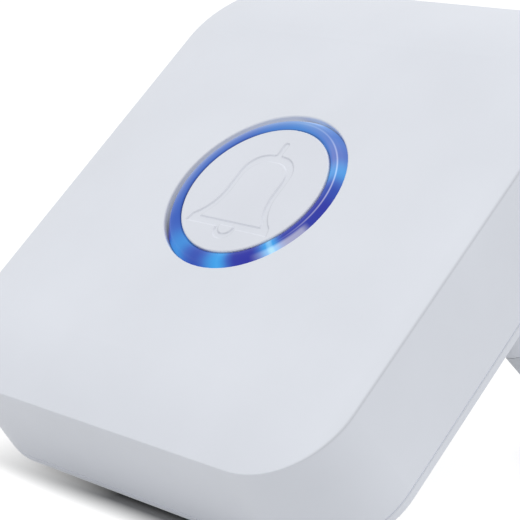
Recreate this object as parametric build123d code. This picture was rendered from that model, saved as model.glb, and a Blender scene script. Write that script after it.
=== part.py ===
from build123d import *
import os
from math import asin, cos, degrees, radians, sin

# Batteryless wireless call button that leans back on two rear legs. Millimetres.
# Every piece is drawn with the case lying on its back: x to the right, y up the face,
# z out of the face, with the zero at the centre of the face. At the end the whole is
# tilted to its lean and set on the counter, with the origin under the front foot.

# Lean and case
lean = 38.8
case_width = 80.2
case_height = 87.5
case_corner = 13.4
wall = 2.0
front_wall = 2.2
crown_drop = 2.2
crown_flat_corner = 1.4
front_edge_round = 0.2
side_flare = 1.0
pocket_corner = 3.0
cover_thickness = 1.5
back_edge_round = 0.3
seam_height = 0.2
seam_depth = 0.12
tongue_wall = 1.2
tongue_height = 1.6
fit = 0.15

# Case seal
seal_lip = 1.0
seal_depth = 0.8
seal_squeeze = 0.05

# Screws, one size throughout
screw_radius = 1.0
thread_gap = 0.05
shank_gap = 0.2
head_radius = 2.0
head_height = 1.3
head_gap = 0.2
cross_width = 0.5
cross_depth = 0.6
case_screw_length = 9.0
case_screw_inset = 8.5
boss_wall = 2.2
pilot_spare = 1.0
pilot_end_gap = 0.4

# Button cap
cap_radius = 12.3
cap_rise = 0.15
cap_plate = 2.0
cap_skirt_depth = 3.55
cap_skirt_wall = 1.5
cap_edge_round = 0.2
press_travel = 2.5
stem_radius = 3.0
stem_clearance = 0.05
stem_bridge = 1.1
stem_floor_gap = 1.0

# Bell engraved in the cap
groove_depth = 0.2
groove_slope = 42.0
bell_top = 6.95
bell_side = 5.15
bell_crown_radius = 4.1
bell_waist = -0.5
bell_flare_radius = 7.3
bell_flare_drop = 5.8
bell_lip_side = 8.5
bell_foot = -7.9
inner_top = 5.5
inner_side = 4.1
inner_crown_radius = 3.5
inner_flare_radius = 9.3
inner_flare_drop = 5.5
inner_lip_side = 6.1
inner_foot = -6.45
bell_stem_radius = 0.55
bell_stem_tip = 9.65
bell_stem_root = 0.4
clapper_radius = 2.05
clapper_inner_radius = 1.35
clapper_inner_top = -7.5

# Light ring
ring_gap = 0.2
ring_width = 2.75
ring_recess_round = 0.3
ring_fit = 0.05
ring_inner_drop = 0.1
ring_crest_rise = 0.15
ring_crest_inset = 1.0
ring_bevel_width = 1.0
ring_bevel_round = 0.3
ring_outer_drop = 1.1
ring_flange_width = 2.5
ring_flange_thickness = 1.2
ring_skirt_wall = 1.75

# Stop ring, board and lamps
stop_gap = 0.2
stop_ring_thickness = 0.7
stop_ring_width = 1.6
stop_ring_inset = 0.25
stop_land_height = 1.5
stop_land_width = 3.2
board_thickness = 1.6
board_side_gap = 8.0
board_low_gap = 5.75
board_high = 20.0
board_corner = 3.0
board_opening_gap = 0.3
boss_notch_gap = 0.5
led_count = 9
led_first_angle = -121.0
led_length = 1.6
led_width = 1.4
led_height = 0.9
led_gap = 0.4
board_screw_inset = 7.5
board_screw_rise = 4.0
board_screw_length = 5.0

# Parts on the back of the board
chip_size = 7.0
chip_height = 1.1
chip_x = 9.0
capacitor_radius = 3.5
capacitor_height = 8.0
capacitor_round = 0.6
capacitor_x = -10.0
diode_count = 4
diode_length = 2.6
diode_width = 1.6
diode_height = 1.0
diode_pitch = 2.4
diode_x = 0.0
diode_y = -22.5
antenna_radius = 0.4
antenna_drop = 2.6
antenna_bend = 2.0
antenna_gap = 0.9
antenna_inset = 1.3
antenna_top = -21.5

# Chassis that guides the button and carries the generator
chassis_plate = 1.8
chassis_width = 54.0
chassis_low = -19.0
chassis_end_gap = 1.2
chassis_corner = 4.0
chassis_screw_x = 20.0
chassis_screw_y = 15.0
chassis_screw_length = 6.5
bush_wall = 2.0
bush_gap = 0.85

# Return spring and stem clip
spring_wire = 0.7
spring_gap = 0.85
spring_turns = 4
spring_seat_gap = 0.02
clip_gap = 0.2
clip_thickness = 0.6
clip_radius = 5.0
clip_groove = 0.5
clip_mouth = 3.6
clip_fit = 0.03
clip_neck = 1.4

# Lever of the rocker
lever_arm = 15.0
nose_radius = 1.0
nose_play = 0.1
nose_width = 2.6
nose_side_gap = 0.2
lever_thickness = 1.4
lever_width = 8.0
lever_neck = 4.0

# Rocker hub, magnet and pole plates
axle_radius = 1.0
axle_running_gap = 0.05
axle_press_gap = 0.01
hub_wall = 1.2
cheek_thickness = 0.75
cheek_reach = 4.4
magnet_length = 2.0
magnet_start = 2.3
pole_thickness = 0.8
pole_half_width = 7.0
pole_reach = 8.6
pole_seat_gap = 0.03
air_gap = 0.12

# Coil, core and yoke
core_thickness = 1.2
core_width = 6.0
core_tip_gap = 0.5
bobbin_gap = 1.0
bobbin_flange = 1.0
bobbin_wall = 0.8
bobbin_half_width = 7.4
coil_inset = 0.6
coil_corner = 1.8
core_fit = 0.05
coil_seat_gap = 0.05
yoke_thickness = 1.2
yoke_side_gap = 0.5
yoke_end_gap = 4.1
lead_radius = 0.3
lead_bend = 1.2
lead_hole_gap = 0.3

# Generator frame
frame_plate = 1.2
frame_margin = 0.8
ear_gap = 0.4
ear_thickness = 2.0
ear_half_length = 2.5
ear_wall = 1.2
rail_thickness = 1.4
rail_gap = 0.1
rail_length = 8.0
lug_reach = 4.2
lug_inset = 3.0
generator_screw_length = 5.0

# Raised back of the cover and the two legs
hump_step = 1.1
hump_height = 28.4
hump_screw_gap = 8.25
hump_depth = 7.2
hump_corner = 3.4
hump_round = 0.8
hump_side_wall = 3.0
hump_wall = 2.0
leg_thickness = 3.6
leg_rise_angle = 8.5
leg_edge_round = 1.0
leg_top_drop = 3.0
leg_seat_gap = 0.03
leg_foot_length = 11.0
leg_foot_width = 8.0
leg_foot_plate = 3.0
leg_flange_width = 7.4
leg_flange_thickness = 2.4
leg_flange_margin = 5.0
leg_boss_height = 3.6
leg_screw_margin = 4.0
leg_screw_length = 6.5

# Rubber feet
foot_clearance = 0.8
rear_foot_thickness = 1.6
rear_foot_inset = 0.6
front_foot_side_gap = 14.0
front_foot_width = 4.1
front_foot_edge = 1.15
front_foot_pocket = 0.6

# Heights, worked down from the face
cap_top = cap_rise
cap_under = cap_top - cap_plate
skirt_bottom = cap_top - cap_skirt_depth
stop_ring_top = skirt_bottom - press_travel - stop_gap
stop_ring_bottom = stop_ring_top - stop_ring_thickness
chassis_top = stop_ring_bottom - stop_land_height
chassis_bottom = chassis_top - chassis_plate
board_bottom = chassis_top
board_top = board_bottom + board_thickness
led_top = board_top + led_height
ring_bottom = led_top + led_gap
bush_top = cap_under - press_travel - bush_gap
clip_top = chassis_bottom - clip_gap
clip_bottom = clip_top - clip_thickness
window_top = clip_bottom - clip_neck
nose_z = window_top - nose_play - nose_radius
window_bottom = nose_z - nose_radius - nose_play
stem_end = window_bottom - stem_bridge
pivot_z = nose_z - press_travel / 2
frame_bottom = chassis_bottom - frame_plate
seam_z = stem_end - press_travel - stem_floor_gap
back_z = seam_z - cover_thickness
hump_z = back_z - hump_depth
leg_root_z = hump_z + hump_round
cavity_top = -(crown_drop + wall)
cover_boss_top = seam_z + tongue_height

# Places across the face
half_width = case_width / 2
half_height = case_height / 2
cover_half_height = half_height + side_flare
crown_width = case_corner - crown_flat_corner
boss_radius = screw_radius + boss_wall
pilot_radius = screw_radius + thread_gap
shank_hole_radius = screw_radius + shank_gap
head_hole_radius = head_radius + head_gap
head_hole_depth = head_height + head_gap
tongue_inset = wall + fit
ring_inner_radius = cap_radius + ring_gap
ring_recess_radius = ring_inner_radius + ring_width
ring_skirt_radius = ring_inner_radius + ring_skirt_wall
ring_outer_radius = ring_recess_radius - ring_fit
ring_flange_radius = ring_recess_radius + ring_flange_width
bush_radius = stem_radius + bush_wall
spring_radius = bush_radius + spring_gap + spring_wire / 2
stop_land_radius = cap_radius - stop_ring_inset
board_opening = stop_land_radius + board_opening_gap
led_radius = (ring_inner_radius + ring_skirt_radius) / 2
board_half_width = half_width - wall - board_side_gap
board_low = -(half_height - wall - board_low_gap)
board_screw_y = board_low + board_screw_rise
antenna_y = board_low + antenna_inset
strip_y = (chassis_low + antenna_y) / 2
chassis_half_width = chassis_width / 2
case_screw_x = half_width - case_screw_inset
case_screw_y = half_height - case_screw_inset
board_screw_x = case_screw_x - board_screw_inset
antenna_x = case_screw_x - boss_radius - antenna_gap
pivot_y = lever_arm
half_swing = degrees(asin(press_travel / 2 / lever_arm))
hub_radius = axle_radius + hub_wall
hub_half_width = pole_half_width + pole_seat_gap + cheek_thickness
pole_sink = pole_reach * sin(radians(half_swing))
pole_half_gap = (core_thickness / 2 + air_gap + pole_sink) / cos(radians(half_swing))
core_tip_y = pivot_y + magnet_start + magnet_length + core_tip_gap
coil_half_height = frame_bottom - pivot_z - coil_seat_gap
bobbin_start = pivot_y + pole_reach + bobbin_gap
yoke_back = half_height - wall - yoke_end_gap
bobbin_end = yoke_back - yoke_thickness
yoke_inner = bobbin_half_width + yoke_side_gap
yoke_outer = yoke_inner + yoke_thickness
rail_inner = yoke_outer + rail_gap
rail_outer = rail_inner + rail_thickness
ear_inner = hub_half_width + ear_gap
ear_outer = ear_inner + ear_thickness
frame_half_width = max(ear_outer, rail_outer) + frame_margin
frame_low = pivot_y - ear_half_length - frame_margin
chassis_high = yoke_back + frame_margin + chassis_end_gap
lug_x = frame_half_width + lug_reach / 2
lug_spots = [bobbin_start + lug_inset, bobbin_end - lug_inset]
lead_x = frame_half_width - frame_margin
lead_y = board_high - 2 * lead_hole_gap - 2 * lead_radius
hump_half_width = half_width - hump_step
hump_high = case_screw_y - hump_screw_gap
hump_low = hump_high - hump_height
leg_inner = hump_half_width - leg_thickness

# Counter plane under the tilted case, as a height along the tilted up direction
counter_level = -cover_half_height * sin(radians(lean)) + back_z * cos(radians(lean)) - foot_clearance


def floor_point(y, lift):
    """Point (y, z) that lies the given lift above the counter."""
    return y, (counter_level + lift - y * sin(radians(lean))) / cos(radians(lean))


def along_floor(point, distance):
    """Point moved back along the counter from a point (y, z)."""
    return point[0] + distance * cos(radians(lean)), point[1] - distance * sin(radians(lean))


def above(point, height):
    """Point (y, z) moved straight up from the counter."""
    return point[0] + height * sin(radians(lean)), point[1] + height * cos(radians(lean))


def rod(radius, low, high, x=0, y=0):
    """Upright cylinder between two heights."""
    upright = (Align.CENTER, Align.CENTER, Align.MIN)
    return Pos(x, y, low) * Cylinder(radius, high - low, align=upright)


def tube(outer, inner, low, high):
    """Upright hollow cylinder between two heights."""
    return rod(outer, low, high) - rod(inner, low, high)


def cross_rod(radius, half_length, y, z):
    """Cylinder along x, centred on the middle plane."""
    return Pos(0, y, z) * Rot(0, 90, 0) * Cylinder(radius, 2 * half_length)


def block(x_low, x_high, y_low, y_high, z_low, z_high):
    """Box between two corners."""
    middle = Pos((x_low + x_high) / 2, (y_low + y_high) / 2, (z_low + z_high) / 2)
    return middle * Box(x_high - x_low, y_high - y_low, z_high - z_low)


def slab(outline, low, high):
    """Solid of a flat outline between two heights."""
    return extrude(Pos(0, 0, low) * outline, amount=high - low)


def side_plate(points, x_low, x_high):
    """Plate of an outline of (y, z) points, between two places along x."""
    face = Plane.YZ * make_face(Polyline(*points, close=True))
    return extrude(Pos(x_low, 0, 0) * face, amount=x_high - x_low)


def case_outline(inset, corner=None):
    """Rounded outline of the case, moved inwards."""
    radius = corner if corner else case_corner - inset
    return RectangleRounded(case_width - 2 * inset, case_height - 2 * inset, radius)


def four_corners(x, y):
    """The four places at plus and minus x and y."""
    return [(x, y), (-x, y), (-x, -y), (x, -y)]


def mirrored(shape):
    """A right-hand piece together with its left-hand twin, as separate solids."""
    return Compound(shape.solids() + mirror(shape, about=Plane.YZ).solids())


def screw(length):
    """Pan-head screw along +z, head below its seat at z zero, with a cross recess."""
    body = rod(head_radius, -head_height, 0) + rod(screw_radius, 0, length)
    bar = block(-head_radius / 2, head_radius / 2, -cross_width / 2, cross_width / 2,
                -head_height, -head_height + cross_depth)
    return body - bar - Rot(0, 0, 90) * bar


def screw_set(places, seat_z, length):
    """Group of equal screws, each with its head behind the seat."""
    return Compound([(Pos(x, y, seat_z) * screw(length)).solid() for x, y in places])


def screw_holes(places, radius, low, high):
    """Cylinders to cut at a set of places."""
    return [rod(radius, low, high, x, y) for x, y in places]


case_screw_places = four_corners(case_screw_x, case_screw_y)
chassis_screw_places = four_corners(chassis_screw_x, chassis_screw_y)
board_screw_places = [(board_screw_x, board_screw_y), (-board_screw_x, board_screw_y)]
lug_places = [(side * lug_x, y) for side in (1, -1) for y in lug_spots]
leg_screw_x = leg_inner - leg_flange_width / 2
leg_screw_low = hump_low + leg_flange_margin + leg_screw_margin
leg_screw_high = hump_high - leg_flange_margin - leg_screw_margin
leg_screw_places = [(leg_screw_x, leg_screw_low), (leg_screw_x, leg_screw_high)]
lead_places = [(lead_x, lead_y), (-lead_x, lead_y)]


def crown_section():
    """Half section from a corner's axis outwards: flat top, crown, edge round and flared side."""
    top = Line((0, 0), (crown_flat_corner, 0))
    edge = (case_corner, -crown_drop)
    crown = TangentArc(top @ 1, edge, tangent=(1, 0))
    rest = Polyline(edge, (case_corner + side_flare, seam_z), (0, seam_z), (0, 0))
    face = make_face([top, crown, rest])
    rim = [v for v in face.vertices() if abs(v.X - case_corner) < 0.01 and v.Y > seam_z / 2]
    return Plane.XZ * fillet(rim, front_edge_round)


def crowned_block():
    """Solid form of the front shell: middle, four straight sides and four corners."""
    section = crown_section()
    mid_x = half_width - case_corner
    mid_y = half_height - case_corner
    body = block(-mid_x, mid_x, -mid_y, mid_y, seam_z, 0)
    side = Pos(mid_x, 0, 0) * extrude(section, amount=mid_y, both=True)
    end = Rot(0, 0, 90) * Pos(mid_y, 0, 0) * extrude(section, amount=mid_x, both=True)
    corner = revolve(section, axis=Axis.Z)
    half_turn = Rot(0, 0, 180)
    body += [side, half_turn * side, end, half_turn * end]
    return body + [Pos(x, y, 0) * corner for x, y in four_corners(mid_x, mid_y)]


def front_shell():
    """Crowned shell with the ring hole, inner bosses, seal rebate and seam line."""
    shell = crowned_block()
    shell -= slab(case_outline(wall), seam_z, cavity_top)
    shell -= slab(case_outline(crown_width + wall, pocket_corner), cavity_top, -front_wall)
    shell -= slab(case_outline(seal_lip), seam_z, seam_z + seal_depth)
    shell -= slab(case_outline(-side_flare), seam_z, seam_z + seam_height) - slab(
        case_outline(seam_depth - side_flare), seam_z, seam_z + seam_height)
    shell -= rod(ring_recess_radius, -front_wall, 0)
    rim = [e for e in shell.edges().filter_by(GeomType.CIRCLE)
           if abs(e.radius - ring_recess_radius) < 0.001 and e.center().Z > -front_wall / 2]
    shell = fillet(rim, ring_recess_round)
    for x, y in case_screw_places:
        shell += rod(boss_radius, cover_boss_top, cavity_top + wall / 2, x, y)
    for x, y in chassis_screw_places + board_screw_places:
        shell += rod(boss_radius, board_top, -front_wall / 2, x, y)
    case_pilot = case_screw_length + pilot_spare
    shell -= screw_holes(case_screw_places, pilot_radius, cover_boss_top, cover_boss_top + case_pilot)
    inner_places = chassis_screw_places + board_screw_places
    return shell - screw_holes(inner_places, pilot_radius, board_top, -front_wall - pilot_end_gap)


def hump_form(grow):
    """Raised back of the cover, with round rear edges, grown outwards by an allowance."""
    width = 2 * (hump_half_width + grow)
    height = hump_high - hump_low + 2 * grow
    outline = Pos(0, (hump_low + hump_high) / 2) * RectangleRounded(width, height, hump_corner + grow)
    form = slab(outline, hump_z - grow, seam_z)
    return fillet(form.edges().group_by(Axis.Z)[0], hump_round)


def rear_cover():
    """Cover plate with its tongue, hollow raised back, screw seats and foot pocket."""
    plate = slab(case_outline(-side_flare), back_z, seam_z)
    plate = fillet(plate.edges().group_by(Axis.Z)[0], back_edge_round)
    plate += slab(case_outline(tongue_inset), seam_z, cover_boss_top) - slab(
        case_outline(tongue_inset + tongue_wall), seam_z, cover_boss_top)
    for x, y in case_screw_places:
        plate += rod(boss_radius, seam_z, cover_boss_top, x, y) & slab(
            case_outline(tongue_inset), seam_z, cover_boss_top)
    plate += hump_form(0)
    hollow = Pos(0, (hump_low + hump_high) / 2) * RectangleRounded(
        2 * (hump_half_width - hump_side_wall), hump_high - hump_low - 2 * hump_wall, hump_corner)
    plate -= slab(hollow, hump_z + hump_wall, seam_z)
    plate -= screw_holes(case_screw_places, shank_hole_radius, back_z, cover_boss_top)
    plate -= screw_holes(case_screw_places, head_hole_radius, back_z, back_z + head_hole_depth)
    for side in (1, -1):
        plate -= screw_holes([(side * x, y) for x, y in leg_screw_places],
                             shank_hole_radius, hump_z, hump_z + hump_wall)
    return plate - front_foot_form(fit / 2)


def case_seal():
    """Flat gasket that fills the rebate in the shell's rim."""
    outer = case_outline(seal_lip + seal_squeeze)
    inner = case_outline(wall)
    top = seam_z + seal_depth - seal_squeeze
    return slab(outer, seam_z, top) - slab(inner, seam_z, top)


def bell_outline(top, side, crown_radius, flare_radius, flare_drop, lip_side, foot):
    """Bell outline: crown, straight sides, flared skirt and lip, alike on both sides."""
    crown = Line((0, top), (side - crown_radius, top))
    shoulder = JernArc(crown @ 1, (1, 0), crown_radius, -90)
    flank = Line(shoulder @ 1, (side, bell_waist))
    flare = JernArc(flank @ 1, (0, -1), flare_radius, degrees(asin(flare_drop / flare_radius)))
    lip = Polyline(flare @ 1, (lip_side, foot), (0, foot), (0, top))
    half = make_face([crown, shoulder, flank, flare, lip])
    return half + mirror(half, about=Plane.YZ)


def sunk(outline, slope):
    """Solid of an outline sunk into the cap, with walls that lean from upright by a slope."""
    return extrude(Pos(0, 0, cap_top) * outline, amount=-groove_depth, taper=slope)


def bell_groove():
    """Band engraved in the cap: a bell with its hanger and clapper, round a plain middle."""
    bell = bell_outline(bell_top, bell_side, bell_crown_radius, bell_flare_radius,
                        bell_flare_drop, bell_lip_side, bell_foot)
    middle = bell_outline(inner_top, inner_side, inner_crown_radius, inner_flare_radius,
                          inner_flare_drop, inner_lip_side, inner_foot)
    hanger_end = bell_stem_tip - bell_stem_radius
    hanger = Pos(0, hanger_end / 2) * Rectangle(2 * bell_stem_radius, hanger_end)
    bell = bell + hanger + Pos(0, hanger_end) * Circle(bell_stem_radius)
    root = [v for v in bell.vertices() if abs(v.Y - bell_top) < 0.01 and abs(v.X) < bell_side / 2]
    bell = fillet([v for v in root if abs(abs(v.X) - bell_stem_radius) < 0.01], bell_stem_root)
    bell = bell + Pos(0, bell_foot) * Circle(clapper_radius)
    below = Pos(0, clapper_inner_top - clapper_inner_radius) * Rectangle(
        4 * clapper_inner_radius, 2 * clapper_inner_radius)
    clapper = (Pos(0, clapper_inner_top) * Circle(clapper_inner_radius)) & below
    return sunk(bell, groove_slope) - sunk(middle, -groove_slope) - sunk(clapper, -groove_slope)


def button_cap():
    """Hollow cap with the engraved bell, and the stem that slides in the chassis bush."""
    cap = rod(cap_radius, skirt_bottom, cap_top)
    cap = fillet(cap.edges().group_by(Axis.Z)[-1], cap_edge_round)
    cap -= rod(cap_radius - cap_skirt_wall, skirt_bottom, cap_under)
    cap += rod(stem_radius, stem_end, cap_under)
    cap -= tube(stem_radius, stem_radius - clip_groove, clip_bottom - clip_fit, clip_top + clip_fit)
    window = nose_width / 2 + nose_side_gap
    cap -= block(-window, window, -stem_radius, stem_radius, window_bottom, window_top)
    return cap - bell_groove()


def stem_clip():
    """Open retaining clip in the stem's groove, which stops the cap on its way up."""
    clip = tube(clip_radius, stem_radius - clip_groove + clip_fit, clip_bottom, clip_top)
    half_mouth = clip_mouth / 2
    return clip - block(-half_mouth, half_mouth, -clip_radius, 0, clip_bottom, clip_top)


def biarc(start, start_way, end, end_way):
    """Two arcs that leave the start and reach the end along given directions."""
    span = end - start
    both = start_way + end_way
    spread = 2 * (1 - start_way.dot(end_way))
    reach = (-span.dot(both) + (span.dot(both) ** 2 + spread * span.dot(span)) ** 0.5) / spread
    first = start + start_way * reach
    second = end - end_way * reach
    joint = (first + second) * 0.5
    return [TangentArc(start, joint, tangent=start_way),
            TangentArc(joint, end, tangent=second - first)]


def return_spring():
    """Helical spring round the bush, from the chassis to the underside of the cap."""
    low = chassis_top + spring_wire / 2 + spring_seat_gap
    high = cap_under - spring_wire / 2 - spring_seat_gap
    quarters = 4 * spring_turns
    rise = (high - low) / quarters
    arcs = []
    for quarter in range(quarters):
        points = []
        ways = []
        for step in (quarter, quarter + 1):
            angle = radians(90 * step)
            points.append(Vector(spring_radius * cos(angle), spring_radius * sin(angle), low + rise * step))
            turn = spring_radius * radians(90)
            ways.append(Vector(-turn * sin(angle), turn * cos(angle), rise).normalized())
        arcs += biarc(points[0], ways[0], points[1], ways[1])
    path = Wire(arcs)
    return sweep(Plane(path @ 0, z_dir=path % 0) * Circle(spring_wire / 2), path=path)


def light_ring():
    """Clear ring: domed top with a bevelled rim, flange behind the face, skirt down to the lamps."""
    crest = (ring_inner_radius + ring_crest_inset, ring_crest_rise)
    bevel_radius = ring_outer_radius - ring_bevel_width
    dome = ThreePointArc((ring_inner_radius, -ring_inner_drop), crest, (bevel_radius, 0))
    flange_bottom = -front_wall - ring_flange_thickness
    rest = Polyline(dome @ 1, (ring_outer_radius, -ring_outer_drop),
                    (ring_outer_radius, -front_wall), (ring_flange_radius, -front_wall),
                    (ring_flange_radius, flange_bottom), (ring_skirt_radius, flange_bottom),
                    (ring_skirt_radius, ring_bottom), (ring_inner_radius, ring_bottom), dome @ 0)
    profile = make_face([dome, rest])
    rim = [v for v in profile.vertices() if abs(v.X - bevel_radius) < 0.001]
    return revolve(Plane.XZ * fillet(rim, ring_bevel_round), axis=Axis.Z)


def stop_ring():
    """Soft ring on the chassis land that the cap's skirt meets at the end of its travel."""
    return tube(stop_land_radius, stop_land_radius - stop_ring_width, stop_ring_bottom, stop_ring_top)


def chassis():
    """Plate behind the board with the stem bush, stop land and generator bosses."""
    middle_y = (chassis_low + chassis_high) / 2
    outline = Pos(0, middle_y) * RectangleRounded(
        2 * chassis_half_width, chassis_high - chassis_low, chassis_corner)
    plate = slab(outline, chassis_bottom, chassis_top)
    plate += tube(stop_land_radius, stop_land_radius - stop_land_width, chassis_top, stop_ring_bottom)
    plate += rod(bush_radius, chassis_top, bush_top)
    boss_top = frame_bottom + generator_screw_length + pilot_spare
    for x, y in lug_places:
        plate += rod(boss_radius, chassis_top, boss_top, x, y)
    plate -= rod(stem_radius + stem_clearance, chassis_bottom, bush_top)
    plate -= screw_holes(case_screw_places, boss_radius + boss_notch_gap, chassis_bottom, chassis_top)
    plate -= screw_holes(chassis_screw_places, shank_hole_radius, chassis_bottom, chassis_top)
    plate -= screw_holes(lug_places, pilot_radius, chassis_bottom, boss_top - pilot_spare / 2)
    return plate - screw_holes(lead_places, lead_radius + lead_hole_gap, chassis_bottom, chassis_top)


def circuit_board():
    """Board round the button, with the lamps above and the radio parts below."""
    middle_y = (board_low + board_high) / 2
    outline = Pos(0, middle_y) * RectangleRounded(
        2 * board_half_width, board_high - board_low, board_corner)
    board = slab(outline, board_bottom, board_top) - rod(board_opening, board_bottom, board_top)
    board -= screw_holes(case_screw_places, boss_radius + boss_notch_gap, board_bottom, board_top)
    places = chassis_screw_places + board_screw_places
    return board - screw_holes(places, shank_hole_radius, board_bottom, board_top)


def ring_leds():
    """Lamps in a circle under the skirt of the light ring."""
    lamp = block(led_radius - led_length / 2, led_radius + led_length / 2,
                 -led_width / 2, led_width / 2, board_top, led_top)
    step = 360 / led_count
    return Compound([(Rot(0, 0, led_first_angle + step * i) * lamp).solid() for i in range(led_count)])


def radio_chip():
    """Square radio chip on the back of the board."""
    half = chip_size / 2
    return block(chip_x - half, chip_x + half, strip_y - half, strip_y + half,
                 board_bottom - chip_height, board_bottom)


def storage_capacitor():
    """Round capacitor that holds the charge of one press."""
    can = rod(capacitor_radius, board_bottom - capacitor_height, board_bottom, capacitor_x, strip_y)
    return fillet(can.edges().group_by(Axis.Z)[0], capacitor_round)


def power_parts():
    """Row of small rectifier parts between the coil and the capacitor."""
    first = diode_x - diode_pitch * (diode_count - 1) / 2
    centres = [first + diode_pitch * i for i in range(diode_count)]
    return Compound([block(x - diode_width / 2, x + diode_width / 2, diode_y - diode_length / 2,
                           diode_y + diode_length / 2, board_bottom - diode_height, board_bottom).solid()
                     for x in centres])


def wire_along(points, radius, bend):
    """Round wire along straight runs joined by bends."""
    path = FilletPolyline(*points, radius=bend)
    return sweep(Plane(path @ 0, z_dir=path % 0) * Circle(radius), path=path)


def antenna_wire():
    """Aerial wire that stands off the board and follows its lower edges."""
    z = board_bottom - antenna_drop
    points = [(antenna_x, antenna_top, board_bottom), (antenna_x, antenna_top, z),
              (antenna_x, antenna_y, z), (-antenna_x, antenna_y, z), (-antenna_x, antenna_top, z)]
    return wire_along(points, antenna_radius, antenna_bend)


def generator_frame():
    """Plate under the chassis with ears for the axle, rails for the yoke and screw lugs."""
    frame = block(-frame_half_width, frame_half_width, frame_low, yoke_back + frame_margin,
                  frame_bottom, chassis_bottom)
    ear_low = pivot_z - axle_radius - ear_wall
    rail_middle = (bobbin_start + bobbin_end) / 2
    for side in (1, -1):
        ears = sorted((side * ear_inner, side * ear_outer))
        frame += block(*ears, pivot_y - ear_half_length, pivot_y + ear_half_length, ear_low, frame_bottom)
        rails = sorted((side * rail_inner, side * rail_outer))
        frame += block(*rails, rail_middle - rail_length / 2, rail_middle + rail_length / 2,
                       pivot_z - coil_half_height, frame_bottom)
        for y in lug_spots:
            lugs = sorted((0, side * lug_x))
            frame += block(*lugs, y - lug_reach / 2, y + lug_reach / 2, frame_bottom, chassis_bottom)
            frame += rod(lug_reach / 2, frame_bottom, chassis_bottom, side * lug_x, y)
    frame -= cross_rod(axle_radius + axle_press_gap, ear_outer, pivot_y, pivot_z)
    frame -= screw_holes(lug_places, shank_hole_radius, frame_bottom, chassis_bottom)
    return frame - screw_holes(lead_places, lead_radius + lead_hole_gap, frame_bottom, chassis_bottom)


def core_bar(grow, start, end):
    """Flat bar along the coil's axis, grown all round by an allowance."""
    half_width_here = core_width / 2 + grow
    half_thick = core_thickness / 2 + grow
    return block(-half_width_here, half_width_here, start, end, pivot_z - half_thick, pivot_z + half_thick)


def coil_bobbin():
    """Bobbin with two flanges and a flat bore for the core."""
    half = bobbin_half_width
    flanges = [block(-half, half, y, y + bobbin_flange, pivot_z - coil_half_height,
                     pivot_z + coil_half_height)
               for y in (bobbin_start, bobbin_end - bobbin_flange)]
    spool = core_bar(core_fit + bobbin_wall, bobbin_start, bobbin_end) + flanges
    return spool - core_bar(core_fit, bobbin_start, bobbin_end)


def coil_winding():
    """Wound copper between the flanges, as one rounded block round the bobbin."""
    start = bobbin_start + bobbin_flange
    end = bobbin_end - bobbin_flange
    width = 2 * (bobbin_half_width - coil_inset)
    height = 2 * (coil_half_height - coil_inset)
    section = Plane.XZ * RectangleRounded(width, height, coil_corner)
    winding = Pos(0, start, pivot_z) * extrude(section, amount=-(end - start))
    return winding - core_bar(core_fit + bobbin_wall, start, end)


def iron_core():
    """Core through the coil, whose tip lies between the pole plates."""
    return core_bar(0, core_tip_y, bobbin_end)


def flux_yoke():
    """Bent strip from the core's far end, forward beside the coil to the pole plates."""
    low = pivot_z - coil_half_height
    arm_start = pivot_y + cheek_reach + frame_margin
    yoke = block(-yoke_outer, yoke_outer, bobbin_end, yoke_back, low, frame_bottom)
    for side in (1, -1):
        arms = sorted((side * yoke_inner, side * yoke_outer))
        yoke += block(*arms, arm_start, bobbin_end, low, frame_bottom)
    return yoke


def coil_leads():
    """Two lead wires from the coil, out under the yoke and up through the chassis."""
    z = pivot_z - coil_half_height - coil_seat_gap - lead_radius
    y = bobbin_start + bobbin_flange / 2
    points = [(bobbin_half_width - 2 * lead_bend, y, z), (lead_x, y, z), (lead_x, lead_y, z),
              (lead_x, lead_y, board_bottom)]
    return mirrored(wire_along(points, lead_radius, lead_bend))


def tilted(piece):
    """Rocker piece turned from level to its place at rest, nose up."""
    return piece.rotate(Axis((0, pivot_y, pivot_z), (1, 0, 0)), -half_swing)


def rocker_arm():
    """Lever with its nose in the stem, hub on the axle and cheeks round the magnet."""
    half_thick = lever_thickness / 2
    nose_y = pivot_y - lever_arm
    arm = cross_rod(nose_radius, nose_width / 2, nose_y, pivot_z)
    arm += block(-nose_width / 2, nose_width / 2, nose_y, pivot_y,
                 pivot_z - half_thick, pivot_z + half_thick)
    arm += block(-lever_width / 2, lever_width / 2, nose_y + lever_neck, pivot_y,
                 pivot_z - half_thick, pivot_z + half_thick)
    arm += cross_rod(hub_radius, hub_half_width, pivot_y, pivot_z)
    tall = pole_half_gap + pole_thickness
    for side in (1, -1):
        cheeks = sorted((side * (hub_half_width - cheek_thickness), side * hub_half_width))
        arm += block(*cheeks, pivot_y, pivot_y + cheek_reach, pivot_z - tall, pivot_z + tall)
    return tilted(arm - cross_rod(axle_radius + axle_running_gap, hub_half_width, pivot_y, pivot_z))


def rocker_axle():
    """Steel pin held in the ears of the generator frame."""
    return cross_rod(axle_radius, ear_outer, pivot_y, pivot_z)


def magnet():
    """Bar magnet between the pole plates, behind the hub."""
    start = pivot_y + magnet_start
    return tilted(block(-pole_half_width, pole_half_width, start, start + magnet_length,
                        pivot_z - pole_half_gap, pivot_z + pole_half_gap))


def pole_plate(side):
    """Iron plate above or below the magnet, reaching past the tip of the core."""
    faces = sorted((side * pole_half_gap, side * (pole_half_gap + pole_thickness)))
    return tilted(block(-pole_half_width, pole_half_width, pivot_y + magnet_start, pivot_y + pole_reach,
                        pivot_z + faces[0], pivot_z + faces[1]))


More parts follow.
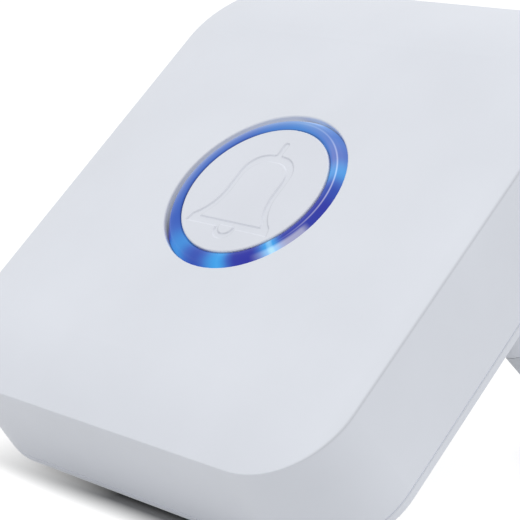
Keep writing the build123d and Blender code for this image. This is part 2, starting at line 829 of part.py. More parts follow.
def leg_floor_start():
    """Place where the leg's lower edge, rising slowly from the hump, nears the counter."""
    slope = sin(radians(leg_rise_angle)) / cos(radians(leg_rise_angle))
    level = counter_level + rear_foot_thickness
    rise = sin(radians(lean))
    fall = cos(radians(lean))
    z = (level - (hump_low + slope * leg_root_z) * rise) / (fall - slope * rise)
    return floor_point(hump_low + slope * (leg_root_z - z), rear_foot_thickness)


def foot_block(points, x_low, x_high):
    """Plate on the counter, from an outline of (y, z) points, with round upright edges."""
    upright = Axis((0, 0, 0), (0, sin(radians(lean)), cos(radians(lean))))
    plate = side_plate(points, x_low, x_high)
    return fillet(plate.edges().filter_by(upright), leg_edge_round)


def stand_leg():
    """Right-hand leg: side plate with round outer edges, wide foot, and a screwed flange on the hump."""
    start = leg_floor_start()
    end = along_floor(start, leg_foot_length)
    top = hump_high - leg_top_drop
    leg = side_plate([(hump_low, leg_root_z), start, end, (top, hump_z), (top, leg_root_z)],
                     leg_inner, hump_half_width)
    outer_edges = leg.edges().group_by(Axis.X)[-1].sort_by(Axis.Y)
    leg = fillet(outer_edges[0], hump_corner)
    outer_edges = leg.edges().group_by(Axis.X)[-1].sort_by(Axis.Y)
    leg = fillet(outer_edges[-2], leg_edge_round)
    leg += foot_block([start, end, above(end, leg_foot_plate), above(start, leg_foot_plate)],
                      hump_half_width - leg_foot_width, hump_half_width)
    flange_end = hump_z - leg_flange_thickness
    leg += block(leg_inner - leg_flange_width, leg_inner, hump_low + leg_flange_margin,
                 hump_high - leg_flange_margin, flange_end, hump_z)
    for x, y in leg_screw_places:
        leg += rod(leg_flange_width / 2, flange_end - leg_boss_height, flange_end, x, y)
    pilot_end = hump_z + hump_wall - leg_screw_length - pilot_spare / 2
    leg -= screw_holes(leg_screw_places, pilot_radius, pilot_end, hump_z)
    return leg - hump_form(leg_seat_gap)


def leg_screws():
    """Screws from inside the raised back into each leg."""
    places = leg_screw_places + [(-x, y) for x, y in leg_screw_places]
    turned = Pos(0, 0, hump_z + hump_wall) * Rot(180, 0, 0) * screw(leg_screw_length)
    return Compound([(Pos(x, y, 0) * turned).solid() for x, y in places])


def rear_foot():
    """Right-hand rubber pad under the leg's foot plate."""
    start = along_floor(leg_floor_start(), rear_foot_inset)
    end = along_floor(start, leg_foot_length - 2 * rear_foot_inset)
    points = [start, end, above(end, -rear_foot_thickness), above(start, -rear_foot_thickness)]
    return foot_block(points, hump_half_width - leg_foot_width + rear_foot_inset,
                      hump_half_width - rear_foot_inset)


def front_foot_form(grow):
    """Wedge strip behind the lower edge of the cover, cut parallel to the counter."""
    low = -cover_half_height + front_foot_edge
    high = low + front_foot_width
    seat = back_z + front_foot_pocket
    points = [(low - grow, seat), floor_point(low - grow, 0), floor_point(high + grow, 0),
              (high + grow, seat)]
    half = half_width - front_foot_side_gap + grow
    return side_plate(points, -half, half)


def front_foot():
    """Rubber strip that the lower edge of the case stands on."""
    return front_foot_form(0)


pieces = {
    "front_shell": front_shell(),
    "rear_cover": rear_cover(),
    "case_seal": case_seal(),
    "case_screws": screw_set(case_screw_places, back_z + head_hole_depth, case_screw_length),
    "light_ring": light_ring(),
    "button_cap": button_cap(),
    "stem_clip": stem_clip(),
    "return_spring": return_spring(),
    "stop_ring": stop_ring(),
    "chassis": chassis(),
    "chassis_screws": screw_set(chassis_screw_places, chassis_bottom, chassis_screw_length),
    "circuit_board": circuit_board(),
    "board_screws": screw_set(board_screw_places, board_bottom, board_screw_length),
    "ring_leds": ring_leds(),
    "radio_chip": radio_chip(),
    "storage_capacitor": storage_capacitor(),
    "power_parts": power_parts(),
    "antenna_wire": antenna_wire(),
    "generator_frame": generator_frame(),
    "generator_screws": screw_set(lug_places, frame_bottom, generator_screw_length),
    "coil_bobbin": coil_bobbin(),
    "coil_winding": coil_winding(),
    "coil_leads": coil_leads(),
    "iron_core": iron_core(),
    "flux_yoke": flux_yoke(),
    "rocker_arm": rocker_arm(),
    "rocker_axle": rocker_axle(),
    "magnet": magnet(),
    "upper_pole_plate": pole_plate(1),
    "lower_pole_plate": pole_plate(-1),
    "right_leg": stand_leg(),
    "left_leg": mirror(stand_leg(), about=Plane.YZ),
    "leg_screws": leg_screws(),
    "rear_feet": mirrored(rear_foot()),
    "front_foot": front_foot(),
}

# Tilt to the lean, and move the middle of the front foot's rest face to the origin
rest_y, rest_z = floor_point(-cover_half_height + front_foot_edge + front_foot_width / 2, 0)
tilt = Rot(lean, 0, 0)
rest_point = tilt * Pos(0, rest_y, rest_z)
stand = Pos(-rest_point.position) * tilt

os.makedirs("parts", exist_ok=True)
for name, piece in pieces.items():
    export_step(stand * piece, f"parts/{name}.step")
    print(name, round(sum(solid.volume for solid in piece.solids()), 1))
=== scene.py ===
# %% [markdown]
# # Dressing a batteryless call button
#
# The real object is a small white box that leans back on a shop counter. In the middle of its face is a
# round cap with a bell pressed into it, inside a ring that glows blue. Pressing the cap flips a magnet
# past a coil, and that one pulse runs the radio and the lamps.
#
# The shapes come from the imported model. This lesson gives them their finishes, a floor, light and a camera.
# We load the model first.

# %% Load the imported model
import math

import bpy
from mathutils import Matrix, Vector


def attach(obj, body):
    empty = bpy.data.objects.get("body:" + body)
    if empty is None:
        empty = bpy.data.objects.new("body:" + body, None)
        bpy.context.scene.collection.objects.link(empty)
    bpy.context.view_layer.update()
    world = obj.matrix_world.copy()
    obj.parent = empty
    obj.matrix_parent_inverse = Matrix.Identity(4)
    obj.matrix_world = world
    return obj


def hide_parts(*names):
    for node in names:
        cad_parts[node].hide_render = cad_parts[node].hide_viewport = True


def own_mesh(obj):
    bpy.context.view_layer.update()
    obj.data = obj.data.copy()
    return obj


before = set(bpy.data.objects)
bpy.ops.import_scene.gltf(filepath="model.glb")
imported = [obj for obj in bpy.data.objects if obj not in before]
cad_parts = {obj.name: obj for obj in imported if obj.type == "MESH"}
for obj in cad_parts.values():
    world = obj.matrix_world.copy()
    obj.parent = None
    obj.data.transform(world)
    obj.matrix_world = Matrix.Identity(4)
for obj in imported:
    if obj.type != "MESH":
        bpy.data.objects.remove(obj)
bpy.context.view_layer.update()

# %% [markdown]
# ## The face has its own axes
#
# The case leans back, so hardly anything on it lines up with the world's axes. On the bench the maker would
# lay the case on its back and measure from the centre of the face: right, up the face, and out of the face.
# One matrix turns such a measure into a place in the scene.

# %% Axes of the leaning face
lean = math.radians(38.8)
face_centre = Vector((0.0, 0.0172181, 0.0448949))
from_face = Matrix.Translation(face_centre) @ Matrix.Rotation(lean, 4, "X")

# %% [markdown]
# ## Camera
#
# The photograph looks at the lower right corner of the face, from a little above the counter, with a long
# lens: the edges hardly converge. Its place and lens were worked out from the straight edges of the case and
# the round ring. Typing them in is exact, while turning a camera by hand would only come near.

# %% Camera
camera_data = bpy.data.cameras.new("photo_camera")
camera_data.lens = 130.27
camera_data.sensor_width = 36.0
camera_data.clip_start = 0.01
camera_data.clip_end = 20.0
camera = bpy.data.objects.new("photo_camera", camera_data)
camera.location = (0.19368, -0.17911, 0.10137)
camera.rotation_euler = (math.radians(76.287), 0.0, math.radians(44.43))
bpy.context.scene.collection.objects.link(camera)
bpy.context.scene.camera = camera
print("camera distance to the face in metres:", round((camera.location - face_centre).length, 3))

# %% [markdown]
# ## Helpers for node trees
#
# Every finish below is a small node tree on a Principled shader. Three helpers keep the cells short: one
# starts a finish, one adds a node and sets its sockets by name, and one turns a grey pattern into colours.

# %% Node helpers
def new_finish(name):
    """A material with one Principled shader; returns the material, its tree and the shader."""
    material = bpy.data.materials.new(name)
    material.use_nodes = True
    return material, material.node_tree, material.node_tree.nodes["Principled BSDF"]


def add_node(tree, kind, **settings):
    """Adds a node; a setting whose name is a socket goes to that socket, any other to the node."""
    node = tree.nodes.new(kind)
    for key, value in settings.items():
        socket = key.replace("_", " ").title()
        if socket in node.inputs:
            node.inputs[socket].default_value = value
        else:
            setattr(node, key, value)
    return node


def ramp(tree, source, stops):
    """A colour ramp fed by a grey value; stops are (position, colour) pairs."""
    node = tree.nodes.new("ShaderNodeValToRGB")
    tree.links.new(source, node.inputs["Fac"])
    elements = node.color_ramp.elements
    while len(elements) < len(stops):
        elements.new(0.5)
    for element, (position, colour) in zip(elements, stops):
        element.position = position
        element.color = (*colour, 1.0)
    return node.outputs["Color"]


print("node helpers ready")

# %% [markdown]
# Five more do the sums: the place on a surface, one step of arithmetic on values, a few steps on a place that
# end in a distance, and a change from one range of values to another. The last one tells straight looks from
# light that only falls on something, so a backdrop can look white and still not light the object more.

# %% Helpers for values
def object_place(tree):
    """The point on the surface in the model's own metres, which no camera can change."""
    return add_node(tree, "ShaderNodeTexCoord").outputs["Object"]


def arithmetic(tree, operation, first, second):
    """One step of arithmetic; the first value is a node's output, the second too or a number."""
    node = add_node(tree, "ShaderNodeMath", operation=operation)
    tree.links.new(first, node.inputs[0])
    if isinstance(second, bpy.types.NodeSocket):
        tree.links.new(second, node.inputs[1])
    else:
        node.inputs[1].default_value = second
    return node.outputs[0]


def distance(tree, place, steps):
    """Length of a place after steps of vector arithmetic, each an operation and an amount or None."""
    for operation, amount in steps:
        step = add_node(tree, "ShaderNodeVectorMath", operation=operation)
        tree.links.new(place, step.inputs[0])
        if amount:
            step.inputs[1].default_value = amount
        place = step.outputs["Vector"]
    length = add_node(tree, "ShaderNodeVectorMath", operation="LENGTH")
    tree.links.new(place, length.inputs[0])
    return length.outputs["Value"]


def remap(tree, source, from_range, to_range):
    """Turns a value's range into another one and stops at its ends; a new end may be a node's output."""
    node = add_node(tree, "ShaderNodeMapRange")
    node.inputs["From Min"].default_value, node.inputs["From Max"].default_value = from_range
    for name, end in zip(("To Min", "To Max"), to_range):
        if isinstance(end, bpy.types.NodeSocket):
            tree.links.new(end, node.inputs[name])
        else:
            node.inputs[name].default_value = end
    tree.links.new(source, node.inputs["Value"])
    return node.outputs["Result"]


def seen_directly(tree):
    """1 for rays that come straight from the camera or by way of a mirror or clear surface, else 0."""
    path = add_node(tree, "ShaderNodeLightPath").outputs
    straight_or_mirror = arithmetic(tree, "MAXIMUM", path["Is Camera Ray"], path["Is Glossy Ray"])
    return arithmetic(tree, "MAXIMUM", straight_or_mirror, path["Is Transmission Ray"])


print("value helpers ready")

# %% [markdown]
# ## Floor
#
# The photograph has a white table with only a narrow shadow along the front edge of the case, and the lower
# side of the case is evenly lit. A sheet of milky plastic with a lamp below it does that, and a big plane can
# stand for it. It throws back some of the light that falls on it and adds a weak glow of its own. Straight
# looks at it, and looks by way of a mirror, find a glow that makes clean white. That one fades out where the
# case meets the table, which paints a dark strip there on top of the real shadow.

# %% Floor
floor_mesh = bpy.data.meshes.new("white_table")
reach = 4.0
corners = [(-reach, -reach, 0), (reach, -reach, 0), (reach, reach, 0), (-reach, reach, 0)]
floor_mesh.from_pydata(corners, [], [(0, 1, 2, 3)])
table_top = bpy.data.objects.new("white_table", floor_mesh)
bpy.context.scene.collection.objects.link(table_top)
print("floor side in metres:", 2 * reach)

# %% [markdown]
# The painted shadow's place is measured from the middle of the contact line: on a strip 16 mm long and 8 mm
# wide the white glow is gone, and the dark there is partly real shadow and partly painted shadow. Outside it
# the glow comes up within 5 mm ahead of the case, and seven times more slowly along the edge, because the
# rounded corner of the case stands clear of the table there. Round the two rear feet the table glows less and
# is paler, so they keep a soft shadow too.

# %% Table finish
table_white, tree, shader = new_finish("table_white")
contact_middle, strip_half, slower_along = (0, -0.0015, 0), (0.008, 0.0041, 0), 7
# Distance from the strip where the white glow is taken out, which paints a shadow along the contact line.
from_painted_shadow_strip = distance(tree, object_place(tree), [
    ("SUBTRACT", contact_middle), ("ABSOLUTE", None), ("SUBTRACT", strip_half), ("MAXIMUM", (0, 0, 0)),
    ("MULTIPLY", (1 / slower_along, 1, 0))])
rear_foot, foot_shade = (0.035, 0.0617, 0), (0.004, 0.016)
from_rear_foot = distance(tree, object_place(tree), [("ABSOLUTE", None), ("SUBTRACT", rear_foot)])
white_glow = remap(tree, from_rear_foot, foot_shade, (0.40, 0.88))
white_grey = remap(tree, from_rear_foot, foot_shade, (0.70, 0.23))
# The white glow for straight looks, cut to nothing on the strip: the painted shadow.
seen_glow = remap(tree, from_painted_shadow_strip, (0, 0.005), (0, white_glow))
table_glow, table_grey = 0.25, 0.40
direct = seen_directly(tree)
tree.links.new(remap(tree, direct, (0, 1), (table_glow, seen_glow)), shader.inputs["Emission Strength"])
tree.links.new(remap(tree, direct, (0, 1), (table_grey, white_grey)), shader.inputs["Base Color"])
shader.inputs["Emission Color"].default_value = (1, 1, 1, 1)
shader.inputs["Roughness"].default_value = 0.9
shader.inputs["Specular IOR Level"].default_value = 0.0
floor_mesh.materials.append(table_white)
print("table finish:", table_white.name)

# %% [markdown]
# ## Surroundings
#
# A light tent gives even, soft light from all round. The world does that here and is the main light. Rays
# that go straight to it see plain white, and the light it sheds on the object is set apart, so that colours
# render about as they are written. Its walls are a little cooler than its roof, so the sides of the case come
# out bluer than the face.

# %% Light tent
tent = bpy.data.worlds.new("light_tent")
bpy.context.scene.world = tent
tent.use_nodes = True
tree = tent.node_tree
background = tree.nodes["Background"]
direct = seen_directly(tree)
sky_way = add_node(tree, "ShaderNodeSeparateXYZ")
tree.links.new(add_node(tree, "ShaderNodeTexCoord").outputs["Generated"], sky_way.inputs["Vector"])
roof_or_seen = arithmetic(tree, "MAXIMUM", sky_way.outputs["Z"], direct)
wall_tint, roof_white = (0.90, 0.94, 1.0), (1.0, 1.0, 1.0)
tent_colour = ramp(tree, roof_or_seen, [(0.0, wall_tint), (0.6, roof_white)])
tree.links.new(tent_colour, background.inputs["Color"])
tent_light = 0.82
tree.links.new(remap(tree, direct, (0, 1), (tent_light, 1.0)), background.inputs["Strength"])
print("tent light:", tent_light)

# %% [markdown]
# ## Softboxes
#
# Two softboxes do the modelling. One hangs high to the right, lights the face and the right side and leaves
# the lower side to the light from the table. It is kept out of reflections, so that it leaves no bright spot
# on glossy pieces. A weak one looks square at the face and keeps it the brightest side. They stand well back,
# so the table is lit evenly.

# %% Softboxes
stand_off = 2.2


def softbox(name, direction, side, power):
    """A square lamp that looks at the face from a direction."""
    lamp = bpy.data.lights.new(name, "AREA")
    lamp.shape = "SQUARE"
    lamp.size = side
    lamp.energy = power
    holder = bpy.data.objects.new(name, lamp)
    away = Vector(direction).normalized()
    holder.location = face_centre + away * stand_off
    holder.rotation_euler = away.to_track_quat("Z", "Y").to_euler()
    bpy.context.scene.collection.objects.link(holder)
    return holder


high_box = softbox("high_softbox", (0.50, 0.10, 0.85), side=0.7, power=6.6)
front_box = softbox("front_softbox", (0.0, -0.63, 0.78), side=0.45, power=2.2)
high_box.visible_glossy = False
print("softboxes:", high_box.name, front_box.name)

# %% [markdown]
# ## Moulded plastic
#
# A moulded part is never one flat colour. The pigment is a little uneven, and the steel mould leaves a fine
# even grain that softens its shine. Both are noise: a wide one for the pigment, a very fine one for the
# grain, which feeds the roughness and a shallow bump. The same recipe serves for every moulded piece, with
# its own colour, gloss and grain.

# %% Moulded plastic recipe
plastic_ior = 1.49


def moulded(name, colour, gloss_low, gloss_high, grain_mm, grain_height_mm, uneven=0.02):
    """A moulded plastic: colour, two roughness limits, grain size and grain height."""
    material, tree, shader = new_finish(name)
    place = object_place(tree)
    pigment = add_node(tree, "ShaderNodeTexNoise", scale=45.0, detail=3.0, roughness=0.5)
    tree.links.new(place, pigment.inputs["Vector"])
    dark = tuple(channel * (1 - uneven) for channel in colour)
    pale = tuple(min(1.0, channel * (1 + uneven)) for channel in colour)
    tones = ramp(tree, pigment.outputs["Fac"], [(0.3, dark), (0.7, pale)])
    tree.links.new(tones, shader.inputs["Base Color"])
    grain = add_node(tree, "ShaderNodeTexNoise", scale=1000.0 / grain_mm, detail=2.0, roughness=0.6)
    tree.links.new(place, grain.inputs["Vector"])
    shine = remap(tree, grain.outputs["Fac"], (0, 1), (gloss_low, gloss_high))
    tree.links.new(shine, shader.inputs["Roughness"])
    bump = add_node(tree, "ShaderNodeBump", strength=0.5, distance=grain_height_mm / 1000.0)
    tree.links.new(grain.outputs["Fac"], bump.inputs["Height"])
    tree.links.new(bump.outputs["Normal"], shader.inputs["Normal"])
    shader.inputs["IOR"].default_value = plastic_ior
    return material


case_look = ((0.787, 0.812, 0.869), 0.38, 0.50, 0.35, 0.006)
shell_white, cover_white = moulded("shell_white", *case_look), moulded("cover_white", *case_look)
cap_white = moulded("cap_white", (0.836, 0.860, 0.926), 0.36, 0.46, 0.35, 0.004)
# Legs: the case's white plastic, set darker as a painted shade for their place under the case.
leg_white = moulded("leg_white", (0.650, 0.675, 0.720), 0.42, 0.55, 0.4, 0.010)
chassis_grey = moulded("chassis_grey", (0.085, 0.09, 0.105), 0.45, 0.60, 0.5, 0.012, 0.06)
frame_black = moulded("frame_black", (0.012, 0.012, 0.014), 0.40, 0.58, 0.3, 0.012, 0.15)
bobbin_cream = moulded("bobbin_cream", (0.62, 0.55, 0.38), 0.35, 0.48, 0.4, 0.006, 0.04)
chip_black = moulded("chip_black", (0.008, 0.008, 0.010), 0.50, 0.65, 0.12, 0.006, 0.15)
print("outer finishes:", shell_white.name, cover_white.name, cap_white.name, leg_white.name)
print("inner finishes:", chassis_grey.name, frame_black.name, bobbin_cream.name, chip_black.name)

# %% [markdown]
# ## Lines of the bell
#
# The bell is pressed only a fifth of a millimetre deep, and soft light nearly washes such shallow walls out.
# Their corners are rounded, and every wall gets a fine line of painted light and shade: a painted highlight
# where it looks up the face, painted shade where it looks sideways. The Bevel node gives the direction in
# which a rounded corner would look. Two helpers use it: one tells how far that direction turns to another,
# the other lays painted light and shade over a finish.

# %% Helpers for lines on edges
def turned_to(tree, normal_node, direction):
    """How far a normal turns to a direction, which is given on the face: right, up the face, out of it."""
    node = add_node(tree, "ShaderNodeVectorMath", operation="DOT_PRODUCT")
    node.inputs[1].default_value = from_face.to_3x3() @ Vector(direction)
    tree.links.new(normal_node.outputs["Normal"], node.inputs[0])
    return node.outputs["Value"]


def tint(finish, shade):
    """Multiplies painted light and shade onto the colour that a finish already has."""
    tree = finish.node_tree
    colour = tree.nodes["Principled BSDF"].inputs["Base Color"]
    node = add_node(tree, "ShaderNodeVectorMath", operation="MULTIPLY")
    tree.links.new(colour.links[0].from_socket, node.inputs[0])
    tree.links.new(shade, node.inputs[1])
    tree.links.new(node.outputs["Vector"], colour)


print("edge helpers ready")

# %% [markdown]
# How far a corner turns up the face, less how far it turns sideways, picks the tone of the painted line:
# painted highlight up the face, painted shade sideways. A turn to the left counts most, because of those
# walls the camera finds only the corner. Walls that look down are left to their own shade.

# %% Lines of the bell
tree = cap_white.node_tree
rounded = add_node(tree, "ShaderNodeBevel", samples=12, radius=0.0002)
upwards = arithmetic(tree, "MAXIMUM", turned_to(tree, rounded, (0, 1, 0)), 0.0)
right_count, left_count = 0.7, 3.0
to_right = turned_to(tree, rounded, (right_count, 0, 0))
to_left = turned_to(tree, rounded, (-left_count, 0, 0))
sideways = arithmetic(tree, "MAXIMUM", to_right, to_left)
tone = arithmetic(tree, "SUBTRACT", upwards, sideways)
# Tones of the painted lines: painted shade, the plain level between lines, and pale for the painted
# highlight.
painted_line_shade, between_lines_tone, pale = (0.835, 0.835, 0.835), (0.92, 0.92, 0.92), (1.0, 1.0, 1.0)
painted_line_tones = [(0.2, painted_line_shade), (0.46, between_lines_tone), (0.54, between_lines_tone), (0.9, pale)]
tint(cap_white, ramp(tree, remap(tree, tone, (-0.4, 0.4), (0, 1)), painted_line_tones))
print("lines drawn on:", cap_white.name)

# %% [markdown]
# ## Crease of the case
#
# The face of the case meets its right side in a crisp crease, and just past it the side gets a hairline of
# painted shade. The same tools draw that hairline: a rounded corner that turns partly out of the face and
# mostly to the right. The cover behind gets a weaker painted shade along the parting line.

# %% Crease of the case
for finish, darkest_painted_shade in [(shell_white, 0.80), (cover_white, 0.90)]:
    tree = finish.node_tree
    rounded = add_node(tree, "ShaderNodeBevel", samples=8, radius=0.0006)
    outwards = turned_to(tree, rounded, (0, 0, 1))
    rightwards = arithmetic(tree, "MAXIMUM", turned_to(tree, rounded, (1, 0, 0)), 0.0)
    mostly_right = arithmetic(tree, "POWER", rightwards, 2.0)
    past_crease = arithmetic(tree, "MULTIPLY", mostly_right, outwards)
    # Painted shade on the rounded corner just past the crease.
    tint(finish, remap(tree, past_crease, (0.08, 0.35), (1.0, darkest_painted_shade)))
    print("hairline drawn on:", finish.name)

# %% [markdown]
# ## The glowing ring
#
# The ring is a clear light guide with nine small blue lamps under it. Over a lamp it is bright and almost
# cyan, between lamps it sinks to indigo, and no two lamps look equally bright. Modelling light inside clear
# plastic is slow and noisy. The glow is written down instead: an angle round the ring, a chart of how bright
# it is over each lamp and in the gap after it, and four blues to mix. First the place on the ring is turned
# into an angle and a radius, both measured on the face.

# %% Angle and radius on the face
ring_glow, tree, shader = new_finish("ring_glow")
face_axes = add_node(tree, "ShaderNodeMapping", vector_type="TEXTURE")
face_axes.inputs["Location"].default_value = face_centre
face_axes.inputs["Rotation"].default_value = (lean, 0, 0)
tree.links.new(object_place(tree), face_axes.inputs["Vector"])
across = add_node(tree, "ShaderNodeSeparateXYZ")
tree.links.new(face_axes.outputs["Vector"], across.inputs["Vector"])
angle = arithmetic(tree, "ARCTAN2", across.outputs["Y"], across.outputs["X"])
turn = remap(tree, angle, (-math.pi, math.pi), (0, 1))
radius = distance(tree, face_axes.outputs["Vector"], [("MULTIPLY", (1, 1, 0))])
print("ring finish started:", ring_glow.name)

# %% [markdown]
# The chart reads: angle of a lamp, its brightness, and angle and brightness of the dark gap that follows. A
# row that is dark at both angles is a wider gap. Angles count from the right hand side, upwards. A ramp that
# eases between its stops makes soft blobs.

# %% Glow of the lamps
lamp_chart = [
    (-161, 0.36, -141, 0.30), (-116, 0.66, -97, 0.19), (-78, 0.87, -65, 0.02), (-60, 0.00, -55, 0.00),
    (-42, 0.97, -31, 0.05), (-2, 0.02, 10, 0.16), (26, 0.78, 40, 0.44), (56, 0.50, 90, 0.56),
    (110, 0.50, 135, 0.38), (159, 0.38, 179, 0.38),
]


def round_turn(pairs):
    """Stops for a ramp from (degrees, brightness) pairs."""
    return [((degrees + 180) / 360, (bright,) * 3) for degrees, bright in pairs]


lamp_pairs = [pair for lamp in lamp_chart for pair in (lamp[:2], lamp[2:])]
brightness = ramp(tree, turn, round_turn(lamp_pairs))
brightness.node.color_ramp.interpolation = "EASE"
indigo, blue = (0.030, 0.034, 0.33), (0.048, 0.14, 0.51)
cyan, pale = (0.05, 0.35, 0.78), (0.26, 0.60, 0.90)
glow = ramp(tree, brightness, [(0.0, indigo), (0.4, blue), (0.86, cyan), (1.0, pale)])
print("rows on the lamp chart:", len(lamp_chart))

# %% [markdown]
# The ring is not lit evenly across its width either. Both edges are dimmed, a painted shade where the ring
# meets the cap and the case. On the right a painted highlight runs as a thin pale line along the top of the
# dome, in a painted haze of reflected light, and the far side gets that painted haze too. At the lower right
# a wide pale patch on the bevel outside is a painted reflection of the front softbox, and the rim gets
# painted shade. On the far side the inner wall gets painted shade, and the bevel, turned away, loses its glow
# and carries only a painted grey sheen. Each of these is a layer: how strong it is round the ring, times how
# strong it is across it, in millimetres from the centre.

# %% Layers across the ring
inner_mm, outer_mm = 12.4, 15.3
across_width = remap(tree, radius, (inner_mm / 1000, outer_mm / 1000), (0, 1))


def on_ring(round_chart, across_chart, colour):
    """A layer of colour from two charts: (degrees, level) round the ring, (millimetres, level) across it."""
    across_stops = [((mm - inner_mm) / (outer_mm - inner_mm), tuple(level * part for part in colour))
                    for mm, level in across_chart]
    node = add_node(tree, "ShaderNodeVectorMath", operation="MULTIPLY")
    tree.links.new(ramp(tree, turn, round_turn(round_chart)), node.inputs[0])
    tree.links.new(ramp(tree, across_width, across_stops), node.inputs[1])
    return node.outputs["Vector"]


all_round = [(-180, 1.0), (180, 1.0)]
# Both edges dimmed: painted shade where the ring meets the cap and the case.
painted_edge_shade = on_ring(all_round, [(12.48, 0.5), (12.62, 1.0), (15.0, 1.0), (15.2, 0.4)], (1, 1, 1))
# A painted highlight: a thin pale line along the top of the dome.
painted_highlight_line = on_ring([(-40, 0.0), (-15, 0.6), (8, 1.0), (36, 0.8), (50, 0.6), (62, 0.35), (100, 0.0)],
                    [(13.52, 0.0), (13.71, 1.0), (13.90, 0.0)], (0.44, 0.42, 0.34))
# Painted haze of reflected light, on the right and on the far side.
right_painted_haze = on_ring([(12, 0.0), (32, 1.0), (50, 1.0), (66, 0.6), (92, 0.0)],
                     [(12.6, 0.2), (13.1, 1.0), (14.0, 0.7), (15.0, 0.6)], (0.11, 0.06, 0.02))
far_painted_haze = on_ring([(-180, 1.0), (-170, 0.9), (-156, 0.3), (-144, 0.0), (60, 0.0), (85, 1.0), (180, 1.0)],
                   [(12.7, 0.1), (13.2, 0.4), (13.9, 1.0)], (0.16, 0.16, 0.08))
# A painted reflection of the front softbox on the bevel outside.
painted_softbox_reflection = on_ring([(-56, 0.0), (-44, 0.7), (-33, 1.0), (-21, 0.9), (-16, 0.0)],
                     [(13.9, 0.0), (14.3, 1.0)], (0.36, 0.35, 0.22))
# Painted shade, taken from the glow: far inner wall, far bevel and near rim.
far_wall_painted_shade = on_ring([(-180, 1.0), (-160, 0.8), (-140, 0.0), (110, 0.0), (135, 1.0), (180, 1.0)],
                   [(12.55, 1.0), (12.9, 0.0)], (0.03, 0.07, 0.18))
far_bevel_painted_shade = on_ring([(-180, 1.0), (-155, 0.9), (-125, 0.0), (80, 0.0), (104, 1.0), (180, 1.0)],
                    [(14.3, 0.0), (14.7, 1.0)], (0.5, 0.7, 1.0))
near_rim_painted_shade = on_ring([(-110, 0.0), (-80, 1.0), (20, 1.0), (45, 0.0)],
                   [(14.9, 0.0), (15.1, 1.0)], (0.3, 0.3, 0.3))
# A painted grey sheen on the far bevel.
far_painted_sheen = on_ring([(-180, 0.55), (-155, 0.4), (-125, 0.0), (76, 0.0), (100, 1.0), (130, 0.95), (180, 0.55)],
                    [(14.3, 0.0), (14.7, 1.0)], (0.46, 0.50, 0.60))
print("width of the ring in millimetres:", round(outer_mm - inner_mm, 1))

# %% [markdown]
# The layers go on one after the other. Those that paint shade by taking light away could leave less than
# none, so a step that stops at zero comes after them, and the painted sheen goes on last.

# %% Layers put together
layer_steps = [
    ("MULTIPLY", painted_edge_shade), ("ADD", painted_highlight_line), ("ADD", right_painted_haze), ("ADD", far_painted_haze), ("ADD", painted_softbox_reflection),
    ("SUBTRACT", far_wall_painted_shade), ("SUBTRACT", far_bevel_painted_shade), ("SUBTRACT", near_rim_painted_shade), ("MAXIMUM", None),
    ("ADD", far_painted_sheen),
]
lit = glow
for operation, layer in layer_steps:
    step = add_node(tree, "ShaderNodeVectorMath", operation=operation)
    tree.links.new(lit, step.inputs[0])
    if layer:
        tree.links.new(layer, step.inputs[1])
    lit = step.outputs["Vector"]
tree.links.new(lit, shader.inputs["Emission Color"])
shader.inputs["Emission Strength"].default_value = 1.0
shader.inputs["Base Color"].default_value = (0.008, 0.012, 0.05, 1)
shader.inputs["Roughness"].default_value = 0.10
shader.inputs["IOR"].default_value = plastic_ior
shader.inputs["Specular IOR Level"].default_value = 0.08
print("steps in the ring's glow:", len(layer_steps))

# %% [markdown]
# ## Rubber
#
# The feet, the stop ring and the seal are rubber: dark, matt, a little dusty in the hollows of the grain.

# %% Rubber
def rubber(name, colour, dust):
    """Matt rubber with a coarse grain and pale dust."""
    material, tree, shader = new_finish(name)
    place = object_place(tree)
    grain = add_node(tree, "ShaderNodeTexNoise", scale=1800.0, detail=4.0, roughness=0.65)
    tree.links.new(place, grain.inputs["Vector"])
    tones = ramp(tree, grain.outputs["Fac"], [(0.35, dust), (0.6, colour)])
    tree.links.new(tones, shader.inputs["Base Color"])
    bump = add_node(tree, "ShaderNodeBump", strength=0.6, distance=0.00004)
    tree.links.new(grain.outputs["Fac"], bump.inputs["Height"])
    tree.links.new(bump.outputs["Normal"], shader.inputs["Normal"])
    shader.inputs["Roughness"].default_value = 0.78
    return material


dark_rubber = rubber("dark_rubber", (0.012, 0.012, 0.013), (0.022, 0.022, 0.024))
seal_rubber = rubber("seal_rubber", (0.075, 0.08, 0.09), (0.095, 0.10, 0.11))
print("rubber finishes:", dark_rubber.name, seal_rubber.name)

# %% [markdown]
# ## Metals
#
# Screws and axle are zinc plated, springs are drawn wire, the iron plates are stamped and dull. All are a
# metal whose roughness follows fine streaks: a noise that is stretched along one direction.

# %% Metals
def streaked_metal(name, colour, rough_low, rough_high, stretch):
    """A plated metal with fine streaks; stretch scales the noise along each axis."""
    material, tree, shader = new_finish(name)
    shrink = add_node(tree, "ShaderNodeMapping", scale=stretch)
    tree.links.new(object_place(tree), shrink.inputs["Vector"])
    streaks = add_node(tree, "ShaderNodeTexNoise", scale=900.0, detail=3.0, roughness=0.6)
    tree.links.new(shrink.outputs["Vector"], streaks.inputs["Vector"])
    dull = tuple(0.82 * channel for channel in colour)
    tones = ramp(tree, streaks.outputs["Fac"], [(0.3, dull), (0.7, colour)])
    tree.links.new(tones, shader.inputs["Base Color"])
    shine = remap(tree, streaks.outputs["Fac"], (0, 1), (rough_low, rough_high))
    tree.links.new(shine, shader.inputs["Roughness"])
    shader.inputs["Metallic"].default_value = 1.0
    return material


